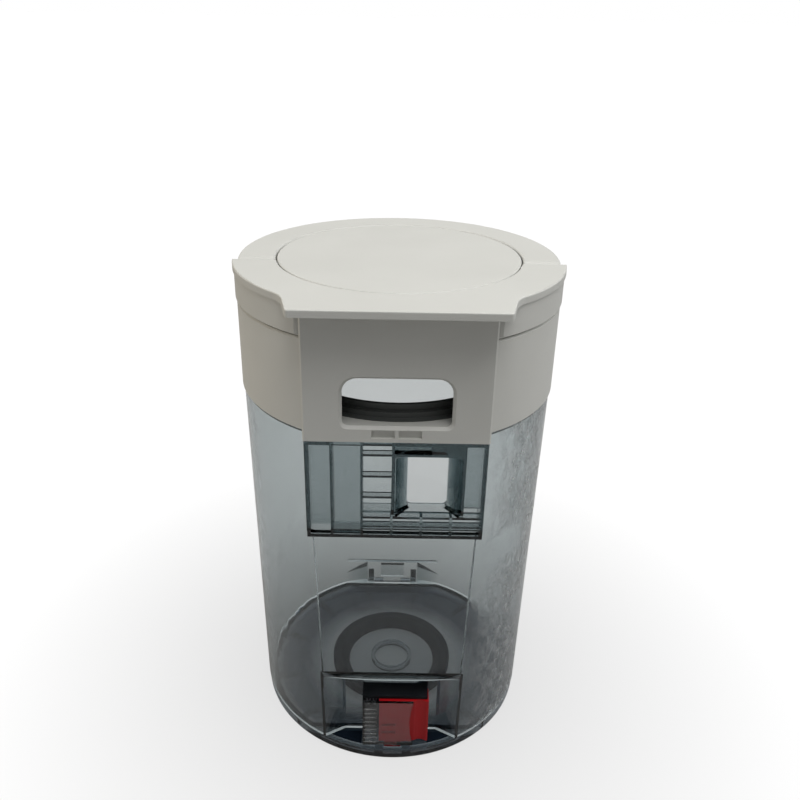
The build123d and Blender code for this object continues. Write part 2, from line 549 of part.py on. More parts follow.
with BuildPart() as lid_shell:
    # Deck, with the raised middle that carries the disc
    with BuildSketch(Plane.XY.offset(DECK_Z)):
        add(flat_round(BAND_R, BAND_FRONT))
    extrude(amount=DECK_T)
    with BuildSketch(Plane.XY.offset(DECK_Z)):
        Circle(PLATEAU_R)
    extrude(amount=PLATEAU_TOP - DECK_Z)
    # Front half rises to the plate
    with BuildSketch(Plane.XY.offset(DECK_Z)):
        add(flat_round(BAND_R, BAND_FRONT))
        with Locations((0, PLATE_END_Y)):
            Rectangle(2 * BAND_R, 2 * BAND_R, align=REAR_HALF, mode=Mode.SUBTRACT)
    extrude(amount=PLATE_Z - DECK_Z)
    # Side band down to the groove, and the rib that rests on the collar
    with BuildSketch(Plane.XY.offset(BAND_Z)):
        add(ring_band(BAND_R, LID_WALL, BAND_FRONT))
    extrude(amount=DECK_Z - BAND_Z)
    with BuildSketch(Plane.XY.offset(COLLAR_TOP + REST_GAP)):
        add(ring_band(COLLAR_R - COLLAR_CHAMFER, COLLAR_WALL - COLLAR_CHAMFER, BAND_FRONT))
    extrude(amount=BAND_Z - COLLAR_TOP)
    # Hollow under the front plate and under the raised middle
    with BuildSketch(Plane.XY.offset(DECK_Z)):
        add(flat_round(BAND_R - LID_WALL, BAND_FRONT - LID_WALL))
        Circle(PLATE_IN + LID_WALL, mode=Mode.SUBTRACT)
        with Locations((0, PLATE_END_Y - LID_WALL)):
            Rectangle(2 * BAND_R, 2 * BAND_R, align=REAR_HALF, mode=Mode.SUBTRACT)
    extrude(amount=PLATE_Z - DECK_Z, mode=Mode.SUBTRACT)
    with BuildSketch(Plane.XY.offset(DECK_Z)):
        Circle(PLATEAU_R - LID_WALL)
    extrude(amount=PLATEAU_TOP - DECK_T - DECK_Z, mode=Mode.SUBTRACT)
    # Plug ring and posts for the liner
    with BuildSketch(Plane.XY.offset(PLUG_Z)):
        add(ring_band(PLUG_R, PLUG_WALL, PLUG_FRONT))
    extrude(amount=PLUG_H)
    with BuildSketch(Plane.XY.offset(LINER_Z)):
        with PolarLocations(PLATE_IN, POSTS, start_angle=180 / POSTS):
            Circle(POST_R)
    extrude(amount=DECK_Z - LINER_Z)
    # Front plate with the flared tongue
    with BuildSketch(Plane.XY.offset(PLATE_Z)) as plate:
        Circle(LID_R)
        with BuildLine():
            Polyline(
                (-TONGUE_W / 2, -TONGUE_Y),
                (TONGUE_W / 2, -TONGUE_Y),
                (TONGUE_W / 2 + TONGUE_FLARE, -TONGUE_BACK),
                (-TONGUE_W / 2 - TONGUE_FLARE, -TONGUE_BACK),
                close=True,
            )
        make_face()
        fillet(plate.vertices().group_by(Axis.Y)[0], TONGUE_CORNER)
        fillet(plate.vertices().filter_by_position(Axis.Y, -LID_R, -TONGUE_BACK + LID_WALL)
               .group_by(Axis.Y)[-1], FLARE_R)
        Circle(PLATE_IN, mode=Mode.SUBTRACT)
        with Locations((0, PLATE_END_Y)):
            Rectangle(2 * LID_R, 2 * LID_R, align=REAR_HALF, mode=Mode.SUBTRACT)
    extrude(amount=LID_PLATE_T)
    fillet(lid_shell.edges().group_by(Axis.Z)[-1], RIM_R)
    # Pivot bosses inside the raised middle
    with BuildSketch(Plane.YZ.offset(BOSS_X)):
        with Locations((PIVOT_Y, DECK_Z)):
            Rectangle(HANDLE_T, PLATEAU_TOP - DECK_T - DECK_Z, align=(Align.CENTER, Align.MIN))
    boss = extrude(amount=PIVOT_GRIP - LID_WALL / 2, mode=Mode.PRIVATE)
    add(boss)
    add(mirror(boss, about=Plane.YZ, mode=Mode.PRIVATE))
    with BuildSketch(Plane.YZ.offset(-PLATEAU_R)):
        with Locations((PIVOT_Y, PIVOT_Z)):
            Circle(PIVOT_R + FIT_GAP)
    extrude(amount=2 * PLATEAU_R, mode=Mode.SUBTRACT)
lid_shell.part.label = "lid_shell"
export_step(lid_shell.part, "parts/lid_shell.step")

with BuildPart() as lid_disc:
    with BuildSketch(Plane.XY.offset(PLATEAU_TOP)):
        Circle(DISC_R)
    extrude(amount=DISC_T)
    fillet(lid_disc.edges().group_by(Axis.Z)[-1], EDGE_R)
lid_disc.part.label = "lid_disc"
export_step(lid_disc.part, "parts/lid_disc.step")

with BuildPart() as lid_seal:
    with BuildSketch(Plane.XY.offset(PLUG_Z + LINER_T)):
        add(ring_band(PLUG_R + PLUG_GAP - REST_GAP, PLUG_GAP - REST_GAP, PLUG_FRONT + PLUG_GAP - REST_GAP))
    extrude(amount=LID_SEAL_H)
lid_seal.part.label = "lid_seal"
export_step(lid_seal.part, "parts/lid_seal.step")

with BuildPart() as lid_liner:
    with BuildSketch(Plane.XY.offset(PLUG_Z)):
        add(flat_round(PLUG_R - PLUG_WALL - FIT_GAP, PLUG_FRONT - PLUG_WALL - FIT_GAP))
    extrude(amount=LINER_T)
lid_liner.part.label = "lid_liner"
export_step(lid_liner.part, "parts/lid_liner.step")

# Bail handle: rear half ring, its ends rounded about the pivots
with BuildPart() as handle:
    with BuildSketch(Plane.XY.offset(HANDLE_Z)):
        Circle(HANDLE_R)
        Circle(HANDLE_IN, mode=Mode.SUBTRACT)
    extrude(amount=HANDLE_T)
    with BuildSketch(Plane.YZ.offset(-HANDLE_R)):
        with Locations((PIVOT_Y, PIVOT_Z)):
            Circle(HANDLE_T / 2)
            Rectangle(2 * HANDLE_R, HANDLE_T, align=(Align.MIN, Align.CENTER))
    extrude(amount=2 * HANDLE_R, mode=Mode.INTERSECT)
    fillet(handle.edges().group_by(Axis.Z)[-1].filter_by(GeomType.CIRCLE), HANDLE_EDGE)
    with BuildSketch(Plane.YZ.offset(-PLATEAU_R - DISC_GROOVE - PIVOT_REACH)):
        with Locations((PIVOT_Y, PIVOT_Z)):
            Circle(PIVOT_R + REST_GAP)
    extrude(amount=2 * (PLATEAU_R + DISC_GROOVE + PIVOT_REACH), mode=Mode.SUBTRACT)
handle.part.label = "handle"
export_step(handle.part, "parts/handle.step")

for side, plane in (("left", Plane.YZ.offset(-BOSS_X)), ("right", Plane.YZ.offset(BOSS_X))):
    with BuildPart() as pivot:
        with BuildSketch(plane):
            with Locations((PIVOT_Y, PIVOT_Z)):
                Circle(PIVOT_R)
        reach = PIVOT_GRIP + PIVOT_REACH
        extrude(amount=reach if side == "right" else -reach)
    pivot.part.label = f"handle_pivot_{side}"
    export_step(pivot.part, f"parts/handle_pivot_{side}.step")

# Bottom door: dished floor in a rim, hinge knuckles at the rear, hook recess at the front
RECESS_FRONT = POCKET_Y + SWING_GAP
RECESS_R = DOOR_R - DOOR_RIM_T

with BuildPart() as dish_skin:
    with BuildSketch(Plane.XY):
        add(flat_round(DISH_R - DISH_SLOPE + DOOR_T, DISH_FRONT - DISH_SLOPE + DOOR_T,
                       DISH_REAR - DISH_SLOPE + DOOR_T))
    with BuildSketch(Plane.XY.offset(DOOR_RIM_H)):
        add(flat_round(DISH_R + DOOR_T, DISH_FRONT + DOOR_T, DISH_REAR + DOOR_T))
    loft()

with BuildPart() as door_hollow:
    with BuildSketch(Plane.XY):
        add(flat_round(RECESS_R, DISH_FRONT, DOOR_REAR - DOOR_RIM_T))
        with PolarLocations(0, DOOR_RIBS, start_angle=180 / DOOR_RIBS):
            Rectangle(2 * DOOR_R, DOOR_RIB_T, mode=Mode.SUBTRACT)
    extrude(amount=DOOR_RIM_H - DOOR_T)
    add(dish_skin.part, mode=Mode.SUBTRACT)

with BuildPart() as bottom_door:
    with BuildSketch(Plane.XY):
        add(flat_round(DOOR_R, rear=DOOR_REAR))
    extrude(amount=DOOR_RIM_H)
    chamfer(bottom_door.edges().group_by(Axis.Z)[0], DOOR_CHAMFER)
    with BuildSketch(Plane.XY.offset(FLOOR_TOP)):
        add(flat_round(DISH_R - DISH_SLOPE, DISH_FRONT - DISH_SLOPE, DISH_REAR - DISH_SLOPE))
    with BuildSketch(Plane.XY.offset(DOOR_RIM_H)):
        add(flat_round(DISH_R, DISH_FRONT, DISH_REAR))
    loft(mode=Mode.SUBTRACT)
    add(door_hollow.part, mode=Mode.SUBTRACT)
    # Small tube in the middle of the floor
    with BuildSketch(Plane.XY.offset(FLOOR_TOP)):
        Circle(BOSS_R)
        Circle(BOSS_R - BOSS_T, mode=Mode.SUBTRACT)
    extrude(amount=BOSS_H)
    # Groove for the seal
    with BuildSketch(Plane.XY.offset(SEAL_Z)):
        add(ring_band(DISH_R + LEDGE_W, LEDGE_W - REST_GAP, DISH_FRONT + LEDGE_W, DISH_REAR + LEDGE_W))
    extrude(amount=SEAL_H, mode=Mode.SUBTRACT)
    # Recess in front of the bin wall, where the hook reaches down between two posts
    with BuildSketch(Plane.XY.offset(DOOR_T)):
        Circle(RECESS_R)
        with Locations((0, -RECESS_FRONT)):
            Rectangle(2 * RECESS_R, 2 * RECESS_R, align=REAR_HALF, mode=Mode.SUBTRACT)
        post_y = -HOOK_Y - HOOK_T / 2 - REST_GAP
        with Locations((HOOK_X + NIB_OUT / 2, post_y)):
            with GridLocations(KEEPER_PITCH, 0, 2, 1):
                Rectangle(KEEPER_W, RECESS_R, align=FRONT_HALF, mode=Mode.SUBTRACT)
    extrude(amount=DOOR_RIM_H - DOOR_T, mode=Mode.SUBTRACT)
    # Hinge knuckles
    with BuildSketch(Plane.YZ.offset((KNUCKLE_PITCH - KNUCKLE_W) / 2)):
        with Locations((HINGE_Y, HINGE_Z)):
            Circle(HINGE_R)
        with Locations((DOOR_REAR - DOOR_RIM_T / 2, HINGE_Z - HINGE_R)):
            Rectangle(HINGE_Y - DOOR_REAR + DOOR_RIM_T / 2, HINGE_R, align=CORNER)
        with Locations((HINGE_Y, HINGE_Z)):
            Circle(HINGE_PIN_R + REST_GAP, mode=Mode.SUBTRACT)
    knuckle = extrude(amount=KNUCKLE_W, mode=Mode.PRIVATE)
    add(knuckle)
    add(mirror(knuckle, about=Plane.YZ, mode=Mode.PRIVATE))
bottom_door.part.label = "bottom_door"
export_step(bottom_door.part, "parts/bottom_door.step")

with BuildPart() as door_seal:
    with BuildSketch(Plane.XY.offset(SEAL_Z)):
        add(ring_band(DISH_R + LEDGE_W - FIT_GAP, LEDGE_W - REST_GAP - 2 * FIT_GAP,
                      DISH_FRONT + LEDGE_W - FIT_GAP, DISH_REAR + LEDGE_W - FIT_GAP))
    extrude(amount=SEAL_H)
door_seal.part.label = "door_seal"
export_step(door_seal.part, "parts/door_seal.step")

# Rubber pads in the recess on both sides of the latch
for side, pad_x in (("left", LATCH_X - PAD_GAP), ("right", LATCH_X + LATCH_W + PAD_GAP)):
    with BuildPart() as pad:
        with BuildSketch(Plane.XY.offset(DOOR_T)):
            Circle(RECESS_R - PAD_GAP)
            with Locations((0, -RECESS_FRONT - PAD_GAP)):
                Rectangle(2 * RECESS_R, 2 * RECESS_R, align=REAR_HALF, mode=Mode.SUBTRACT)
            with Locations((pad_x, 0)):
                inner = (Align.MIN if side == "left" else Align.MAX, Align.CENTER)
                Rectangle(2 * RECESS_R, 2 * RECESS_R, align=inner, mode=Mode.SUBTRACT)
        extrude(amount=DOOR_RIM_H - DOOR_T)
    pad.part.label = f"door_pad_{side}"
    export_step(pad.part, f"parts/door_pad_{side}.step")

with BuildPart() as floor_ring:
    with BuildSketch(Plane.XZ) as ring_face:
        with BuildLine():
            Polyline(
                (FLOOR_RING_R - FLOOR_RING_W, FLOOR_TOP),
                (FLOOR_RING_R, FLOOR_TOP),
                (FLOOR_RING_R, FLOOR_TOP + FLOOR_RING_H),
                (FLOOR_RING_R - FLOOR_RING_CREST, FLOOR_TOP + FLOOR_RING_H),
                close=True,
            )
        make_face()
        fillet(ring_face.vertices().group_by(Axis.Y)[-1], FLOOR_RING_H / 4)
    revolve(axis=Axis.Z)
floor_ring.part.label = "floor_ring"
export_step(floor_ring.part, "parts/floor_ring.step")

with BuildPart() as hinge_pin:
    pin_half = (KNUCKLE_PITCH + KNUCKLE_W) / 2 + REST_GAP + LUG_T
    with BuildSketch(Plane.YZ.offset(-pin_half)):
        with Locations((HINGE_Y, HINGE_Z)):
            Circle(HINGE_PIN_R)
    extrude(amount=2 * pin_half)
hinge_pin.part.label = "hinge_pin"
export_step(hinge_pin.part, "parts/hinge_pin.step")

# Door latch: dark bracket on the pocket wall, clear cover, red slider pushed by a spring
LATCH_Z = BIN_Z + LATCH_UP
LATCH_TOP = LATCH_Z + LATCH_H
COVER_W = LATCH_W - GRIP_W
SHELF_Z = LATCH_TOP - BRACKET_T
BACK_Y = POCKET_Y + BRACKET_T
COVER_IN = LATCH_Y - COVER_WALL
SLIDER_X = LATCH_X + COVER_WALL + SLIDE_SPARE + SLIDE
SLIDER_W = LATCH_X + LATCH_W + PUSH_OUT - SLIDER_X
SLIDER_Z = LATCH_Z + COVER_WALL + REST_GAP
SLIDER_TOP = SHELF_Z - REST_GAP
SPRING_BORE_R = SPRING_R + SPRING_WIRE / 2 + REST_GAP
SPRING_Z = SLIDER_TOP - SPRING_WALL - SPRING_BORE_R
SPRING_Y = BACK_Y + REST_GAP + SPRING_WALL + SPRING_BORE_R
SPRING_X = LATCH_X + COVER_WALL

with BuildPart() as latch_bracket:
    with BuildSketch(Plane.YZ.offset(LATCH_X)):
        with Locations((-POCKET_Y, LATCH_Z)):
            Rectangle(BRACKET_T, LATCH_H, align=(Align.MAX, Align.MIN))
        with Locations((-POCKET_Y, LATCH_TOP)):
            Rectangle(LATCH_Y - POCKET_Y - SHELF_SET, BRACKET_T, align=(Align.MAX, Align.MAX))
    extrude(amount=LATCH_W)
latch_bracket.part.label = "latch_bracket"
export_step(latch_bracket.part, "parts/latch_bracket.step")

with BuildPart() as latch_cover:
    with BuildSketch(Plane.XZ.offset(BACK_Y)):
        with Locations((LATCH_X, LATCH_Z)):
            Rectangle(COVER_W, SHELF_Z - LATCH_Z, align=CORNER)
    extrude(amount=LATCH_Y - BACK_Y)
    with BuildSketch(Plane.XZ.offset(BACK_Y)):
        with Locations((LATCH_X + COVER_WALL, LATCH_Z + COVER_WALL)):
            Rectangle(COVER_W, SHELF_Z - LATCH_Z, align=CORNER)
    extrude(amount=COVER_IN - BACK_Y, mode=Mode.SUBTRACT)
    # Curved notch in the open edge
    with BuildSketch(Plane.XZ.offset(COVER_IN)):
        edge_x = LATCH_X + COVER_W
        notch_h = LATCH_H / 2 - COVER_WALL
        with BuildLine():
            Line((edge_x, LATCH_Z + LATCH_H / 2 - notch_h), (edge_x, LATCH_Z + LATCH_H / 2 + notch_h))
            ThreePointArc((edge_x, LATCH_Z + LATCH_H / 2 + notch_h),
                          (edge_x - COVER_HOLLOW, LATCH_Z + LATCH_H / 2),
                          (edge_x, LATCH_Z + LATCH_H / 2 - notch_h))
        make_face()
    extrude(amount=COVER_WALL, mode=Mode.SUBTRACT)
    # Slot for the hook's travel
    with BuildSketch(Plane.XY.offset(LATCH_Z)):
        with Locations((HOOK_X + HOOK_W / 2 + REST_GAP, -HOOK_Y)):
            Rectangle(HOOK_W + SLIDE + 2 * REST_GAP, HOOK_T + 2 * REST_GAP, align=(Align.MAX, Align.CENTER))
    extrude(amount=COVER_WALL, mode=Mode.SUBTRACT)
latch_cover.part.label = "latch_cover"
export_step(latch_cover.part, "parts/latch_cover.step")

with BuildPart() as latch_slider:
    with BuildSketch(Plane.XZ.offset(BACK_Y + REST_GAP)):
        with Locations((SLIDER_X, SLIDER_Z)):
            Rectangle(SLIDER_W, SLIDER_TOP - SLIDER_Z, align=CORNER)
    extrude(amount=COVER_IN - BACK_Y - 2 * REST_GAP)
    with BuildSketch(Plane.XZ.offset(COVER_IN - REST_GAP)):
        with Locations((SLOT_X, SLIDER_Z + SLOT_UP)):
            with GridLocations(0, SLOT_PITCH, 1, 2):
                Rectangle(SLOT_W, SLOT_H)
    extrude(amount=-SLOT_D, mode=Mode.SUBTRACT)
    with BuildSketch(Plane.YZ.offset(SLIDER_X)):
        with Locations((-SPRING_Y, SPRING_Z)):
            Circle(SPRING_BORE_R)
    extrude(amount=SPRING_BORE, mode=Mode.SUBTRACT)
    with BuildSketch(Plane.XY.offset(SLIDER_Z)):
        with Locations((LATCH_X + LATCH_W - GRIP_W / 2, -COVER_IN + REST_GAP + GROOVE_D - GROOVE_R)):
            Circle(GROOVE_R)
    extrude(amount=SLIDER_TOP - SLIDER_Z, mode=Mode.SUBTRACT)
    # Hook with its nib
    with BuildSketch(Plane.XZ.offset(HOOK_Y - HOOK_T / 2)):
        with Locations((HOOK_X - HOOK_W / 2, HOOK_Z)):
            Rectangle(HOOK_W, SLIDER_Z - HOOK_Z, align=CORNER)
            Rectangle(HOOK_W + NIB_OUT, NIB_H, align=CORNER)
    extrude(amount=HOOK_T)
latch_slider.part.label = "latch_slider"
export_step(latch_slider.part, "parts/latch_slider.step")

with BuildPart() as latch_spring:
    spring_l = SLIDER_X + SPRING_BORE - SPRING_X - SPRING_WIRE
    with BuildLine() as coil:
        coil_start = (SPRING_X + SPRING_WIRE / 2, -SPRING_Y, SPRING_Z)
        Helix(spring_l / SPRING_TURNS, spring_l, SPRING_R, center=coil_start, direction=(1, 0, 0))
    with BuildSketch(Plane(coil.line @ 0, z_dir=coil.line % 0)):
        Circle(SPRING_WIRE / 2)
    sweep()
latch_spring.part.label = "latch_spring"
export_step(latch_spring.part, "parts/latch_spring.step")
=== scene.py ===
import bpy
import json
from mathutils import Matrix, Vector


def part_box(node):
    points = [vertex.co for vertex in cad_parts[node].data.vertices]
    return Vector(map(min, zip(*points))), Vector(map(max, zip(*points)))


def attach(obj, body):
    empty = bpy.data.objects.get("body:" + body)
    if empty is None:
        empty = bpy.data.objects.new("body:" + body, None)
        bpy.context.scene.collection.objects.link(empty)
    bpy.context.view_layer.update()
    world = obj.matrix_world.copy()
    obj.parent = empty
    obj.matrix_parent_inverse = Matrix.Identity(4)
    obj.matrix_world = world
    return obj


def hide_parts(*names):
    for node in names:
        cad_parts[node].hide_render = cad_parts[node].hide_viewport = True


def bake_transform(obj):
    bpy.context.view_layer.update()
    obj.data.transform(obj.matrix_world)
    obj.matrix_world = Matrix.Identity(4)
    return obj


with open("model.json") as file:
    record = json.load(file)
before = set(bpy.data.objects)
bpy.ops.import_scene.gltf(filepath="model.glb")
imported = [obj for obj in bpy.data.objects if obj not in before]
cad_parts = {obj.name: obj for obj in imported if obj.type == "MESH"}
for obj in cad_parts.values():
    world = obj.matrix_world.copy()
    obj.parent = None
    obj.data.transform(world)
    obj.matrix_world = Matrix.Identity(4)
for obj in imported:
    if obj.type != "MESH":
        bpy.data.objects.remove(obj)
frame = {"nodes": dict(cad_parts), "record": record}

"""Studio scene of a clear dust bin with a grey collar and lid, a half-ring handle and a red latch.

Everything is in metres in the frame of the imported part: origin under the bin's middle, +Z up and the flat
front to -Y.
"""
import json
import logging
import math
from dataclasses import dataclass
from enum import Enum

import bpy
from mathutils import Euler, Matrix, Vector

log = logging.getLogger("dust_bin")

Colour = tuple[float, float, float]
Point = tuple[float, float, float]
Span = tuple[float, float]

WHITE: Colour = (1.0, 1.0, 1.0)
LIGHT_BOUNCES = 32


class Body(str, Enum):
    """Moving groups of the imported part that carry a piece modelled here."""

    BIN = "bin"
    LID = "lid"
    LATCH = "latch"


class Slot(str, Enum):
    """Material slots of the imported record."""

    CLEAR = "clear_plastic"
    GREY = "grey_plastic"
    DARK = "dark_plastic"
    RED = "red_plastic"
    RUBBER = "seal_rubber"
    STEEL = "steel"


class NodeSketch:
    """A small helper that lays out the nodes of one material."""

    def __init__(self, name: str) -> None:
        """Starts an empty material.

        Args:
            name: Name of the material.
        """
        self.material = bpy.data.materials.new(name)
        self.material.use_nodes = True
        self.tree = self.material.node_tree
        self.shader = self.tree.nodes["Principled BSDF"]
        self.output = self.tree.nodes["Material Output"]
        self.coords = self.tree.nodes.new("ShaderNodeTexCoord").outputs["Object"]

    def node(self, kind: str, **inputs: object) -> bpy.types.Node:
        """Adds a node and sets or links its inputs.

        Args:
            kind: Blender's name for the kind of node.
            inputs: Values or output sockets by input name, with _ for a space.

        Returns:
            The new node.
        """
        made = self.tree.nodes.new(kind)
        for key, value in inputs.items():
            self.put(made.inputs[key.replace("_", " ")], value)
        return made

    def put(self, socket: bpy.types.NodeSocket, value: object) -> None:
        """Links an output to a socket, or sets the socket's own value.

        Args:
            socket: Input to fill.
            value: Output socket to link, or a plain value.
        """
        if isinstance(value, bpy.types.NodeSocket):
            self.tree.links.new(value, socket)
        else:
            socket.default_value = value

    def noise(self, scale: float, detail: float = 2.0, rough: float = 0.5,
              stretch: Point | None = None) -> bpy.types.NodeSocket:
        """Adds a noise pattern on Object coordinates.

        Args:
            scale: Size of the pattern, in cycles per metre.
            detail: Octaves of the noise.
            rough: Strength of the finer octaves.
            stretch: Scale of the pattern along each axis.

        Returns:
            The pattern's value output.
        """
        vector = self.coords
        if stretch is not None:
            mapping = self.node("ShaderNodeMapping", Vector=self.coords)
            mapping.inputs["Scale"].default_value = stretch
            vector = mapping.outputs["Vector"]
        made = self.node("ShaderNodeTexNoise", Vector=vector, Scale=scale, Detail=detail, Roughness=rough)
        return made.outputs["Fac"]

    def ramp(self, value: bpy.types.NodeSocket, low: float, high: float, out_low: float,
             out_high: float) -> bpy.types.NodeSocket:
        """Maps a value from one range to another, clamped.

        Args:
            value: Output to map.
            low: Start of the source range.
            high: End of the source range.
            out_low: Result at the start.
            out_high: Result at the end.

        Returns:
            The mapped value output.
        """
        made = self.node("ShaderNodeMapRange", Value=value, From_Min=low, From_Max=high, To_Min=out_low,
                         To_Max=out_high)
        return made.outputs["Result"]

    def distance(self) -> bpy.types.NodeSocket:
        """Measures how far a point is from the upright axis through the origin.

        Returns:
            The distance output.
        """
        flat = self.node("ShaderNodeMapping", Vector=self.coords)
        flat.inputs["Scale"].default_value = (1.0, 1.0, 0.0)
        made = self.node("ShaderNodeVectorMath")
        made.operation = "LENGTH"
        self.put(made.inputs[0], flat.outputs["Vector"])
        return made.outputs["Value"]

    def math(self, kind: str, first: bpy.types.NodeSocket, second: object) -> bpy.types.NodeSocket:
        """Joins two values by one operation.

        Args:
            kind: Blender's name for the operation.
            first: First value output.
            second: Second value output, or a number.

        Returns:
            The joined value output.
        """
        made = self.tree.nodes.new("ShaderNodeMath")
        made.operation = kind
        self.put(made.inputs[0], first)
        self.put(made.inputs[1], second)
        return made.outputs[0]

    def mix(self, factor: bpy.types.NodeSocket, first: Colour, second: Colour) -> bpy.types.NodeSocket:
        """Mixes two colours by a value.

        Args:
            factor: Value output from 0 to 1.
            first: Colour at 0.
            second: Colour at 1.

        Returns:
            The mixed colour output.
        """
        made = self.tree.nodes.new("ShaderNodeMix")
        made.data_type = "RGBA"
        self.tree.links.new(factor, made.inputs[0])
        made.inputs[6].default_value = (*first, 1.0)
        made.inputs[7].default_value = (*second, 1.0)
        return made.outputs[2]

    def bump(self, height: bpy.types.NodeSocket, distance: float, strength: float = 1.0,
             under: bpy.types.NodeSocket | None = None) -> bpy.types.NodeSocket:
        """Adds a bump from a height pattern.

        Args:
            height: Height output.
            distance: Depth of the pattern in metres.
            strength: Share of the bump that is used.
            under: Normal of a bump below this one.

        Returns:
            The normal output.
        """
        made = self.node("ShaderNodeBump", Height=height, Distance=distance, Strength=strength)
        if under is not None:
            self.put(made.inputs["Normal"], under)
        return made.outputs["Normal"]


@dataclass(frozen=True)
class ClearPlastic:
    """Smoky see-through plastic with faint handling haze, and painted shade on a dished slope where a shade
    tint is given.
    """

    name: str
    density: float = 190.0
    smear: float = 0.0
    bloom: float = 0.22
    slope_shade_and_band_tint: Colour | None = None
    ior: float = 1.46
    tint: Colour = (0.15, 0.27, 0.295)
    polish: float = 0.02
    haze: float = 0.08
    haze_scale: float = 60.0
    ripple_scale: float = 45.0
    ripple_depth: float = 0.00006
    slope_starts: Span = (0.032, 0.044)
    slope_ends: Span = (0.054, 0.058)
    rim_share: float = 0.35
    middle_starts: Span = (0.0070, 0.0085)
    middle_ends: Span = (0.020, 0.024)
    middle_share: float = 0.20
    grip_side: Span = (0.030, 0.048)
    grip_front: Span = (-0.015, 0.010)
    mottle_scale: float = 320.0
    patch_scale: float = 38.0
    patch_least: float = 0.15
    mark_depth: float = 0.00012
    mark_share: float = 0.6

    def build(self) -> bpy.types.Material:
        """Lays out the finish.

        Returns:
            The material.
        """
        draw = NodeSketch(self.name)
        put = draw.put
        sockets = draw.shader.inputs
        put(sockets["Base Color"], (*WHITE, 1.0))
        # Painted shade on a dished slope, with a darker band round the middle, darkens the base colour.
        if self.slope_shade_and_band_tint is not None:
            put(sockets["Base Color"], draw.mix(self.slope_shade_and_middle_band(draw), WHITE, self.slope_shade_and_band_tint))
        put(sockets["Transmission Weight"], 1.0)
        put(sockets["IOR"], self.ior)
        rough = draw.ramp(draw.noise(self.haze_scale, 4.0, 0.6), 0.5, 0.75, self.polish, self.haze)
        ripple = draw.noise(self.ripple_scale, 1.0, 0.4, (1.0, 1.0, 0.35))
        normal = draw.bump(ripple, self.ripple_depth)
        if self.smear > 0.0:
            worn = self.handling_marks(draw)
            rough = draw.math("ADD", rough, draw.math("MULTIPLY", worn, self.smear))
            put(sockets["Transmission Weight"], draw.ramp(worn, 0.0, 1.0, 1.0, 1.0 - self.bloom))
            normal = draw.bump(worn, self.mark_depth, self.mark_share, normal)
        put(sockets["Roughness"], rough)
        put(sockets["Normal"], normal)
        absorb = draw.node("ShaderNodeVolumeAbsorption", Density=self.density)
        absorb.inputs["Color"].default_value = (*self.tint, 1.0)
        draw.tree.links.new(absorb.outputs["Volume"], draw.output.inputs["Volume"])
        return draw.material

    def slope_shade_and_middle_band(self, draw: NodeSketch) -> bpy.types.NodeSocket:
        """Lays out painted shade on the sloping wall of a dished floor, and a darker band round its middle.

        Args:
            draw: The material's nodes.

        Returns:
            The strength of the darkening, from 0 to 1.
        """
        away = draw.distance()
        # Painted shade on the dish's sloping wall, easing off towards the rim.
        slope_shade = draw.math("MULTIPLY", draw.ramp(away, *self.slope_starts, 0.0, 1.0),
                          draw.ramp(away, *self.slope_ends, 1.0, self.rim_share))
        # A darker band round the middle of the floor.
        middle = draw.math("MULTIPLY", draw.ramp(away, *self.middle_starts, 0.0, self.middle_share),
                           draw.ramp(away, *self.middle_ends, 1.0, 0.0))
        return draw.math("MAXIMUM", slope_shade, middle)

    def handling_marks(self, draw: NodeSketch) -> bpy.types.NodeSocket:
        """Lays out the mottled marks on the front right, where the bin is gripped.

        Args:
            draw: The material's nodes.

        Returns:
            The strength of the marks, from 0 to 1.
        """
        place = draw.node("ShaderNodeSeparateXYZ", Vector=draw.coords).outputs
        front = draw.ramp(place["Y"], *self.grip_front, 1.0, 0.0)
        grip = draw.math("MULTIPLY", draw.ramp(place["X"], *self.grip_side, 0.0, 1.0), front)
        mottle = draw.ramp(draw.noise(self.mottle_scale, 7.0, 0.72, (1.0, 1.0, 0.6)), 0.46, 0.60, 0.0, 1.0)
        patch = draw.ramp(draw.noise(self.patch_scale, 3.0, 0.5), 0.40, 0.52, self.patch_least, 1.0)
        return draw.math("MULTIPLY", draw.math("MULTIPLY", grip, mottle), patch)


@dataclass(frozen=True)
class MouldedPlastic:
    """Opaque moulded plastic with a fine spark-eroded grain."""

    name: str
    colour: Colour
    shade: Colour
    roughness: float = 0.52
    shine: float = 0.5
    grain: float = 0.00002
    grain_scale: float = 2600.0
    cloud_scale: float = 28.0
    unevenness: float = 0.06

    def build(self) -> bpy.types.Material:
        """Lays out the finish.

        Returns:
            The material.
        """
        draw = NodeSketch(self.name)
        put = draw.put
        sockets = draw.shader.inputs
        cloud = draw.ramp(draw.noise(self.cloud_scale, 3.0, 0.55), 0.35, 0.7, 0.0, 1.0)
        put(sockets["Base Color"], draw.mix(cloud, self.colour, self.shade))
        grain = draw.noise(self.grain_scale, 2.0, 0.6)
        smooth, coarse = self.roughness - self.unevenness, self.roughness + self.unevenness
        put(sockets["Roughness"], draw.ramp(grain, 0.3, 0.7, smooth, coarse))
        put(sockets["Normal"], draw.bump(grain, self.grain))
        put(sockets["Specular IOR Level"], self.shine)
        return draw.material


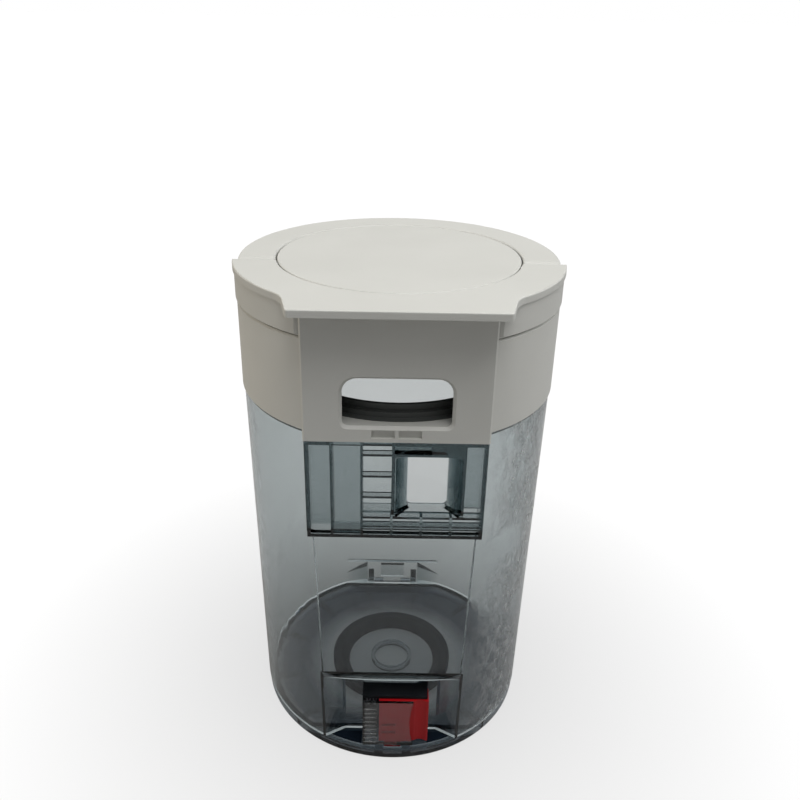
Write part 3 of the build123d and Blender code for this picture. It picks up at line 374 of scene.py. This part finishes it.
@dataclass(frozen=True)
class DrawnSteel:
    """Drawn wire and pin stock with fine lines along its length."""

    name: str = "drawn_steel"
    colour: Colour = (0.56, 0.56, 0.57)
    shade: Colour = (0.40, 0.40, 0.41)
    roughness: float = 0.28
    line_scale: float = 900.0
    smoother: float = 0.08
    coarser: float = 0.1

    def build(self) -> bpy.types.Material:
        """Lays out the finish.

        Returns:
            The material.
        """
        draw = NodeSketch(self.name)
        put = draw.put
        sockets = draw.shader.inputs
        put(sockets["Metallic"], 1.0)
        lines = draw.noise(self.line_scale, 2.0, 0.5, (0.05, 1.0, 1.0))
        put(sockets["Base Color"], draw.mix(lines, self.colour, self.shade))
        smooth, coarse = self.roughness - self.smoother, self.roughness + self.coarser
        put(sockets["Roughness"], draw.ramp(lines, 0.3, 0.7, smooth, coarse))
        return draw.material


class Finishes:
    """The built material of each slot, with a finish of its own for some mouldings."""

    def __init__(self) -> None:
        """Builds the materials."""
        grey = MouldedPlastic("pale_grey_plastic", (0.60, 0.60, 0.565), (0.575, 0.575, 0.54))
        black = MouldedPlastic("black_plastic", (0.003, 0.004, 0.005), (0.005, 0.006, 0.008), 0.5, 0.12)
        red = MouldedPlastic("red_plastic", (0.36, 0.003, 0.006), (0.32, 0.003, 0.005), 0.42, 0.25)
        rubber = MouldedPlastic("grey_rubber", (0.002, 0.006, 0.013), (0.004, 0.009, 0.017), 0.66, 0.1)
        charcoal = MouldedPlastic("charcoal_plastic", (0.068, 0.074, 0.070), (0.080, 0.086, 0.082))
        wire = DrawnSteel("blackened_wire", (0.10, 0.10, 0.11), (0.07, 0.07, 0.08), 0.42)
        # The door's base colour carries painted shade on its dished slope and a darker band round its middle.
        door = ClearPlastic("smoky_door", slope_shade_and_band_tint=(0.16, 0.20, 0.26), tint=(0.12, 0.28, 0.36))
        self.slots = {
            Slot.CLEAR.value: ClearPlastic("clear_cover").build(),
            Slot.GREY.value: grey.build(),
            Slot.DARK.value: black.build(),
            Slot.RED.value: red.build(),
            Slot.RUBBER.value: rubber.build(),
            Slot.STEEL.value: DrawnSteel().build(),
        }
        self.own = {
            "bin_body": ClearPlastic("smoky_bin", smear=0.30).build(),
            "inlet_block": ClearPlastic("smoky_block", density=330.0).build(),
            "bottom_door": door.build(),
            "seat_ring": charcoal.build(),
            "seat_gasket": charcoal.build(),
            "latch_spring": wire.build(),
        }

    def of(self, node: str, slot: str) -> bpy.types.Material:
        """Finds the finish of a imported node.

        Args:
            node: Name of the node.
            slot: Its slot in the record.

        Returns:
            The node's own finish, or its slot's.
        """
        return self.own.get(node, self.slots[slot])


@dataclass
class Studio:
    """Pale floor, soft light and the camera at the photographed angle."""

    floor_half: float = 40.0
    floor_drop: float = 0.0003
    eye: Point = (-0.0020, -0.3086, 0.2966)
    pitch: float = 25.96
    roll: float = 1.0
    lens: float = 36.0
    sensor: float = 36.0
    shift: float = 0.0103
    top_place: Point = (0.18, -0.27, 1.32)
    top_target: Point = (0.0, 0.02, 0.1)
    top_size: float = 0.85
    left_place: Point = (-0.90, 0.12, 0.45)
    right_place: Point = (0.90, 0.15, 0.50)
    side_target: Point = (0.0, 0.0, 0.15)
    side_size: float = 0.5
    left_colour: Colour = (1.0, 0.86, 0.64)
    top_power: float = 11.5
    left_power: float = 2.2
    right_power: float = 2.1
    horizon: float = 0.05
    zenith: float = 0.48
    through: float = 0.70
    glance: float = 0.42
    floor_tone: float = 0.36
    floor_film: float = 0.88
    # pool_tone, pool_span, shade_span, shade_least, near_span and near_least set painted shade on the floor;
    # floor_far and far_span set painted light far off.
    pool_tone: float = 0.78
    floor_far: float = 0.22
    sky_rise: Span = (0.0, 0.9)
    shade_span: Span = (0.06, 0.30)
    shade_least: float = 0.40
    near_span: Span = (0.06, 0.14)
    near_least: float = 0.10
    far_span: Span = (0.4, 2.0)
    pool_span: Span = (0.06, 0.20)

    def build(self) -> None:
        """Lays the floor, hangs the light, sets the world and the camera."""
        self.lay_floor()
        self.hang_light("top_light", self.top_place, self.top_target, self.top_size, self.top_power)
        self.hang_light("left_light", self.left_place, self.side_target, self.side_size, self.left_power,
                        self.left_colour)
        self.hang_light("right_light", self.right_place, self.side_target, self.side_size, self.right_power)
        self.set_world()
        self.set_camera()

    def lay_floor(self) -> None:
        """Adds the pale floor, which keeps the object's shadow.

        To the camera it is mostly a clear film with a painted pool of shade, so that the open door shows
        below it. Its glow is painted darker near the object, and brighter far off where it is seen through
        clear plastic or in shine.
        """
        bpy.ops.object.select_all(action="DESELECT")
        bpy.ops.mesh.primitive_plane_add(size=2.0 * self.floor_half, location=(0.0, 0.0, -self.floor_drop))
        floor = bpy.context.object
        floor.name = "floor"
        draw = NodeSketch("pale_floor")
        sockets = draw.shader.inputs
        draw.put(sockets["Base Color"], (self.floor_tone, self.floor_tone, self.floor_tone, 1.0))
        draw.put(sockets["Roughness"], 0.9)
        draw.put(sockets["Specular IOR Level"], 0.1)
        draw.put(sockets["Emission Color"], (*WHITE, 1.0))
        path = draw.node("ShaderNodeLightPath").outputs
        glanced = draw.math("MULTIPLY", path["Is Glossy Ray"], self.glance)
        mirrored = draw.math("MAXIMUM", path["Is Transmission Ray"], glanced)
        away = draw.distance()
        # Painted shade: to the camera the floor glows less near the object.
        shade = draw.ramp(away, *self.shade_span, self.shade_least, 1.0)
        bright = draw.math("MULTIPLY", path["Is Camera Ray"], shade)
        # Painted shade under the object, seen through clear plastic and in shine.
        painted_under_shade = draw.ramp(away, *self.near_span, self.near_least, self.through - self.floor_tone)
        # Painted light: far off, the floor glows brighter through clear plastic and in shine.
        painted_far_light = draw.ramp(away, *self.far_span, 0.0, self.floor_far)
        dim = draw.math("MULTIPLY", mirrored, draw.math("ADD", painted_under_shade, painted_far_light))
        draw.put(sockets["Emission Strength"], draw.math("ADD", bright, dim))
        # Painted pool of shade round the object, on the clear film that the camera mostly sees.
        painted_pool = draw.ramp(away, *self.pool_span, self.pool_tone, 1.0)
        film = draw.node("ShaderNodeBsdfTransparent", Color=painted_pool)
        seen = draw.math("MULTIPLY", path["Is Camera Ray"], self.floor_film)
        both = draw.node("ShaderNodeMixShader", Fac=seen)
        draw.put(both.inputs[1], draw.shader.outputs["BSDF"])
        draw.put(both.inputs[2], film.outputs["BSDF"])
        draw.put(draw.output.inputs["Surface"], both.outputs["Shader"])
        floor.data.materials.append(draw.material)

    def hang_light(self, name: str, place: Point, target: Point, size: float, power: float,
                   colour: Colour = WHITE) -> None:
        """Adds a square soft light.

        Args:
            name: Name of the light.
            place: Where it hangs.
            target: Point that it faces.
            size: Length of its sides.
            power: Power in watts.
            colour: Colour of the light.
        """
        light = bpy.data.lights.new(name, "AREA")
        light.color = colour
        light.size = size
        light.energy = power
        lamp = bpy.data.objects.new(name, light)
        lamp.location = place
        lamp.rotation_euler = (Vector(target) - Vector(place)).to_track_quat("-Z", "Y").to_euler()
        bpy.context.scene.collection.objects.link(lamp)

    def set_world(self) -> None:
        """Sets a sky that lights the object from above.

        It shows white to the camera, and dimmer through clear plastic and in its shine.
        """
        world = bpy.data.worlds.new("soft_sky")
        world.use_nodes = True
        nodes, links = world.node_tree.nodes, world.node_tree.links
        sky = nodes["Background"]
        sky.inputs["Color"].default_value = (*WHITE, 1.0)
        split = nodes.new("ShaderNodeSeparateXYZ")
        links.new(nodes.new("ShaderNodeTexCoord").outputs["Generated"], split.inputs["Vector"])
        rise = nodes.new("ShaderNodeMapRange")
        rise.inputs["From Min"].default_value = self.sky_rise[0]
        rise.inputs["From Max"].default_value = self.sky_rise[1]
        rise.inputs["To Min"].default_value = self.horizon
        rise.inputs["To Max"].default_value = self.zenith
        links.new(split.outputs["Z"], rise.inputs["Value"])
        path = nodes.new("ShaderNodeLightPath").outputs
        level = rise.outputs["Result"]
        rays = (("Is Glossy Ray", self.glance), ("Is Transmission Ray", self.through), ("Is Camera Ray", 1.0))
        for ray, strength in rays:
            choice = nodes.new("ShaderNodeMix")
            links.new(path[ray], choice.inputs[0])
            links.new(level, choice.inputs[2])
            choice.inputs[3].default_value = strength
            level = choice.outputs[0]
        links.new(level, sky.inputs["Strength"])
        bpy.context.scene.world = world

    def set_camera(self) -> None:
        """Places the camera at the photographed angle."""
        data = bpy.data.cameras.new("camera")
        data.lens = self.lens
        data.sensor_width = self.sensor
        data.shift_x = self.shift
        data.clip_start = 0.01
        camera = bpy.data.objects.new("camera", data)
        tilt = Euler((math.radians(90.0 - self.pitch), 0.0, 0.0)).to_matrix()
        turn = Matrix.Rotation(math.radians(self.roll), 3, "Z")
        camera.matrix_world = Matrix.Translation(self.eye) @ (tilt @ turn).to_4x4()
        bpy.context.scene.collection.objects.link(camera)
        bpy.context.scene.camera = camera


class Bench:
    """Steps shared by the small pieces that are modelled here, with angles in degrees."""

    ROUND_SIDES = 48
    EDGE_STEPS = 3
    SHARP_ANGLE = 40.0
    SMOOTH_ANGLE = 35.0

    @staticmethod
    def only(piece: bpy.types.Object) -> None:
        """Makes a piece the one selected and active object.

        Args:
            piece: The piece.
        """
        bpy.ops.object.select_all(action="DESELECT")
        piece.select_set(True)
        bpy.context.view_layer.objects.active = piece

    @staticmethod
    def cylinder(radius: float, height: float, centre: Point,
                 turn: Point = (0.0, 0.0, 0.0)) -> bpy.types.Object:
        """Adds a cylinder to work on.

        Args:
            radius: Its radius.
            height: Its height.
            centre: Its middle.
            turn: Its rotation in degrees about each axis.

        Returns:
            The new object.
        """
        bpy.ops.object.select_all(action="DESELECT")
        bpy.ops.mesh.primitive_cylinder_add(vertices=Bench.ROUND_SIDES, radius=radius, depth=height,
                                            location=centre, rotation=[math.radians(angle) for angle in turn])
        return bpy.context.object

    @staticmethod
    def bar(size: Point, centre: Point) -> bpy.types.Object:
        """Adds a rectangular bar to work on.

        Args:
            size: Its length along each axis.
            centre: Its middle.

        Returns:
            The new object.
        """
        bpy.ops.object.select_all(action="DESELECT")
        bpy.ops.mesh.primitive_cube_add(size=1.0, location=centre)
        bpy.ops.transform.resize(value=size)
        return bpy.context.object

    @staticmethod
    def freeze(piece: bpy.types.Object) -> None:
        """Moves the place, turn and scale of a piece into its mesh.

        Args:
            piece: The piece.
        """
        Bench.only(piece)
        bpy.ops.object.transform_apply(location=True, rotation=True, scale=True)

    @staticmethod
    def round_edges(piece: bpy.types.Object, width: float) -> None:
        """Rounds the sharp edges of a piece.

        Args:
            piece: The piece.
            width: Width of the rounding.
        """
        Bench.freeze(piece)
        soften = piece.modifiers.new("round_edges", "BEVEL")
        soften.width = width
        soften.segments = Bench.EDGE_STEPS
        soften.limit_method = "ANGLE"
        soften.angle_limit = math.radians(Bench.SHARP_ANGLE)
        bpy.ops.object.modifier_apply(modifier=soften.name)

    @staticmethod
    def cut(piece: bpy.types.Object, tool: bpy.types.Object) -> None:
        """Cuts a tool's shape out of a piece and removes the tool.

        Args:
            piece: The piece.
            tool: The shape to cut.
        """
        Bench.freeze(tool)
        Bench.freeze(piece)
        recess = piece.modifiers.new("recess", "BOOLEAN")
        recess.operation = "DIFFERENCE"
        recess.object = tool
        bpy.ops.object.modifier_apply(modifier=recess.name)
        Bench.only(tool)
        bpy.ops.object.delete()

    @staticmethod
    def copy(piece: bpy.types.Object, shift: Point) -> bpy.types.Object:
        """Copies a piece, with a mesh of its own.

        Args:
            piece: The finished piece.
            shift: Where the copy goes, from the first one.

        Returns:
            The copy.
        """
        Bench.only(piece)
        bpy.ops.object.duplicate(linked=False)
        bpy.ops.transform.translate(value=shift)
        made = bpy.context.object
        Bench.freeze(made)
        return made

    @staticmethod
    def dress(piece: bpy.types.Object, name: str, finish: bpy.types.Material, slot: Slot) -> None:
        """Smooths, names and dresses a finished piece.

        Args:
            piece: The piece.
            name: Its name.
            finish: Its material.
            slot: Its slot in the record; not used.
        """
        Bench.freeze(piece)
        bpy.ops.object.shade_smooth_by_angle(angle=math.radians(Bench.SMOOTH_ANGLE))
        piece.name = name
        piece.data.name = name
        piece.data.materials.clear()
        piece.data.materials.append(finish)

    @staticmethod
    def fit(piece: bpy.types.Object, name: str, finish: bpy.types.Material, slot: Slot, body: Body) -> None:
        """Dresses a finished piece and mounts it.

        Args:
            piece: The piece.
            name: Its name.
            finish: Its material.
            slot: Its slot in the record.
            body: The moving group that carries it.
        """
        Bench.dress(piece, name, finish, slot)
        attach(piece, body.value)
        log.info("made %s on %s", name, body.value)


@dataclass
class LinerScrews:
    """Cross-head screws that hold the liner to the four posts of the lid."""

    ring: float = 0.0482
    head_r: float = 0.0027
    head_h: float = 0.0017
    cross_l: float = 0.0030
    cross_w: float = 0.0007
    cross_d: float = 0.0009
    edge_r: float = 0.00022

    def build(self, steel: bpy.types.Material) -> None:
        """Models one screw under the liner and copies it round the ring.

        Args:
            steel: Finish of the screws.
        """
        step = self.ring * math.sqrt(0.5)
        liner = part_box("lid_liner")[0].z
        first = Bench.cylinder(self.head_r, self.head_h, (step, step, liner - self.head_h / 2.0))
        depth = 2.0 * self.cross_d
        for size in ((self.cross_l, self.cross_w, depth), (self.cross_w, self.cross_l, depth)):
            Bench.cut(first, Bench.bar(size, (step, step, liner - self.head_h)))
        Bench.round_edges(first, self.edge_r)
        screws = [first]
        for shift in ((-2.0 * step, 0.0, 0.0), (-2.0 * step, -2.0 * step, 0.0), (0.0, -2.0 * step, 0.0)):
            screws.append(Bench.copy(first, shift))
        for number, screw in enumerate(screws, 1):
            Bench.fit(screw, f"liner_screw_{number}", steel, Slot.STEEL, Body.LID)


@dataclass
class PinHeads:
    """Flat riveted heads on the two ends of the hinge pin."""

    radius: float = 0.0020
    height: float = 0.0005
    edge_r: float = 0.00018

    def build(self, steel: bpy.types.Material) -> None:
        """Models one head and copies it to the other end.

        Args:
            steel: Finish of the heads.
        """
        low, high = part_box("hinge_pin")
        middle = (low + high) / 2.0
        out = high.x + self.height / 2.0
        right = Bench.cylinder(self.radius, self.height, (out, middle.y, middle.z), (0.0, 90.0, 0.0))
        Bench.round_edges(right, self.edge_r)
        left = Bench.copy(right, (-2.0 * out, 0.0, 0.0))
        Bench.fit(right, "pin_head_right", steel, Slot.STEEL, Body.BIN)
        Bench.fit(left, "pin_head_left", steel, Slot.STEEL, Body.BIN)


@dataclass
class CoverRidges:
    """Fine moulded ridges across the closed side of the latch cover."""

    inset: float = 0.0004
    rise: float = 0.0020
    length: float = 0.0055
    pitch: float = 0.0024
    count: int = 9
    height: float = 0.00012
    width: float = 0.0008
    edge_r: float = 0.00004

    def build(self, clear: bpy.types.Material) -> None:
        """Models one ridge and copies it upwards.

        Args:
            clear: Finish of the ridges.
        """
        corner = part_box("latch_cover")[0]
        middle = corner.x + self.inset + self.length / 2.0
        centre = (middle, corner.y - self.height / 2.0, corner.z + self.rise)
        first = Bench.bar((self.length, self.height, self.width), centre)
        Bench.round_edges(first, self.edge_r)
        ridges = [first] + [Bench.copy(first, (0.0, 0.0, step * self.pitch)) for step in range(1, self.count)]
        for number, ridge in enumerate(ridges, 1):
            Bench.fit(ridge, f"cover_ridge_{number}", clear, Slot.CLEAR, Body.BIN)


@dataclass
class LatchSpring:
    """Wire coil from the cover's end wall into the slider's bore."""

    wire: float = 0.0006
    turns: int = 5
    wire_sides: int = 14
    turn_steps: int = 32

    def build(self, steel: bpy.types.Material) -> None:
        """Winds the coil where the imported spring lies, and hides the imported spring.

        Args:
            steel: Finish of the coil.
        """
        low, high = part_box("latch_spring")
        middle = (low + high) / 2.0
        half_wire = self.wire / 2.0
        wall = (low.x + half_wire, middle.y, middle.z)
        bore = (high.x - half_wire, middle.y, middle.z)
        bpy.ops.object.select_all(action="DESELECT")
        bpy.ops.mesh.primitive_circle_add(vertices=self.wire_sides, radius=half_wire,
                                          location=(0.0, 0.0, high.z - middle.z - half_wire),
                                          rotation=(math.radians(90.0), 0.0, 0.0))
        coil = bpy.context.object
        Bench.freeze(coil)
        wind = coil.modifiers.new("wind", "SCREW")
        wind.axis = "X"
        wind.iterations = self.turns
        wind.screw_offset = (bore[0] - wall[0]) / self.turns
        wind.steps = wind.render_steps = self.turn_steps
        bpy.ops.object.modifier_apply(modifier=wind.name)
        bpy.ops.object.mode_set(mode="EDIT")
        bpy.ops.mesh.select_all(action="SELECT")
        bpy.ops.mesh.fill_holes(sides=0)
        bpy.ops.mesh.normals_make_consistent(inside=False)
        bpy.ops.object.mode_set(mode="OBJECT")
        bpy.ops.transform.translate(value=wall)
        Bench.dress(coil, "spring_coil", steel, Slot.STEEL)
        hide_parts("latch_spring")
        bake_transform(coil)
        log.info("made spring_coil between %s and %s", Body.BIN.value, Body.LATCH.value)


@dataclass
class DustBin:
    """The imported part, dressed node by node, with its small fasteners and ridges."""

    finishes: Finishes
    screws: LinerScrews
    pin_heads: PinHeads
    ridges: CoverRidges
    spring: LatchSpring

    def dress(self) -> None:
        """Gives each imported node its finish."""
        for part in frame["record"]["subparts"]:
            node = frame["nodes"][part["node"]]
            node.data.materials.clear()
            node.data.materials.append(self.finishes.of(part["node"], part["material_slot"]))
            log.info("dressed %s in %s", part["node"], part["material_slot"])

    def build(self) -> None:
        """Dresses the nodes and adds the small pieces."""
        self.dress()
        steel = self.finishes.slots[Slot.STEEL.value]
        self.screws.build(steel)
        self.pin_heads.build(steel)
        self.ridges.build(self.finishes.slots[Slot.CLEAR.value])
        self.spring.build(self.finishes.own["latch_spring"])


def main() -> None:
    """Builds the scene in order."""
    logging.basicConfig(level=logging.INFO, format="%(name)s: %(message)s")
    scene = bpy.context.scene
    scene.view_settings.view_transform = "Standard"
    scene.cycles.max_bounces = LIGHT_BOUNCES
    scene.cycles.transmission_bounces = LIGHT_BOUNCES
    scene.cycles.transparent_max_bounces = LIGHT_BOUNCES
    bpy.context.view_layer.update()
    DustBin(Finishes(), LinerScrews(), PinHeads(), CoverRidges(), LatchSpring()).build()
    Studio().build()


if __name__ == "__main__":
    main()
